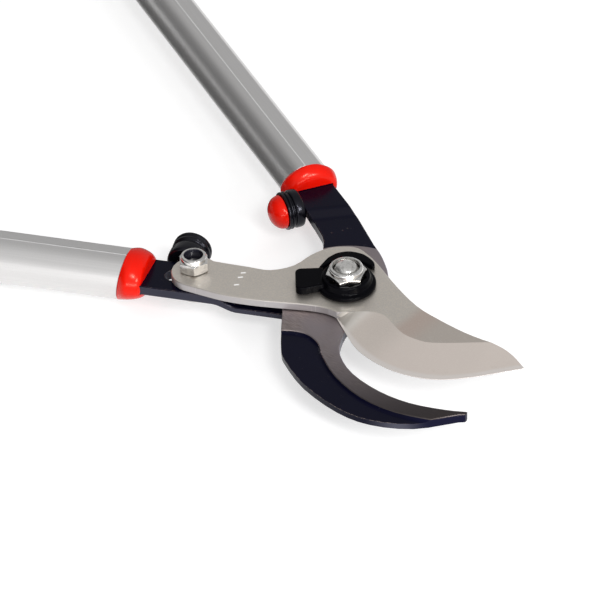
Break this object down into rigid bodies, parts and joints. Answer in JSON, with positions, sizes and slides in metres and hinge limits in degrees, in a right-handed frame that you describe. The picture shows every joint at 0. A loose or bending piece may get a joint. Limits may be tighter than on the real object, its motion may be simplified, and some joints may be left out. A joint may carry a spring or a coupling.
{
  "type": "lopper",
  "caption": "Bypass lopper with a curved hook, a hollow-ground blade, a locked pivot nut, red collars, domed bumpers and two long tube handles.",
  "frame": {"origin": "centre of the flat underside of the pivot bolt's head, on the pivot's axis", "axes": "+X from the handles to the tips, along the line halfway between the two handles as pictured; +Z along the pivot, from the bolt's head to its nut; +Y towards the hook lever's handle"},
  "size_m": [0.579, 0.5067, 0.0383],
  "materials": {
    "blade_steel": "satin",
    "black_steel": "satin",
    "red_plastic": "gloss",
    "tube_aluminium": "satin",
    "grip_rubber": "matt",
    "bumper_rubber": "satin",
    "bright_steel": "gloss",
    "bush_bronze": "satin",
    "black_plastic": "gloss"
  },
  "bodies": {
    "blade_lever": {"cutting_blade": "blade_steel", "blade_arm": "black_steel", "tail_bolt": "bright_steel", "tail_nut": "bright_steel", "pivot_bolt": "bright_steel", "pivot_washer": "bright_steel", "pivot_nut": "bright_steel", "pivot_lock_plate": "black_plastic", "blade_bumper_cup": "bumper_rubber", "blade_bumper_dome": "red_plastic", "blade_bumper_screw": "bright_steel", "blade_collar": "red_plastic", "blade_tube": "tube_aluminium", "blade_grip": "grip_rubber"},
    "hook_lever": {"hook": "black_steel", "pivot_bush": "bush_bronze", "hook_bumper_cup": "bumper_rubber", "hook_bumper_dome": "red_plastic", "hook_bumper_screw": "bright_steel", "hook_collar": "red_plastic", "hook_tube": "tube_aluminium", "hook_grip": "grip_rubber"}
  },
  "joints": [
    {"name": "lever_pivot", "type": "hinge", "parent": "blade_lever", "child": "hook_lever", "pos_m": [0, 0, 0.01165], "axis": [0, 0, 1], "range_deg": [-40, 27.5]}
  ]
}
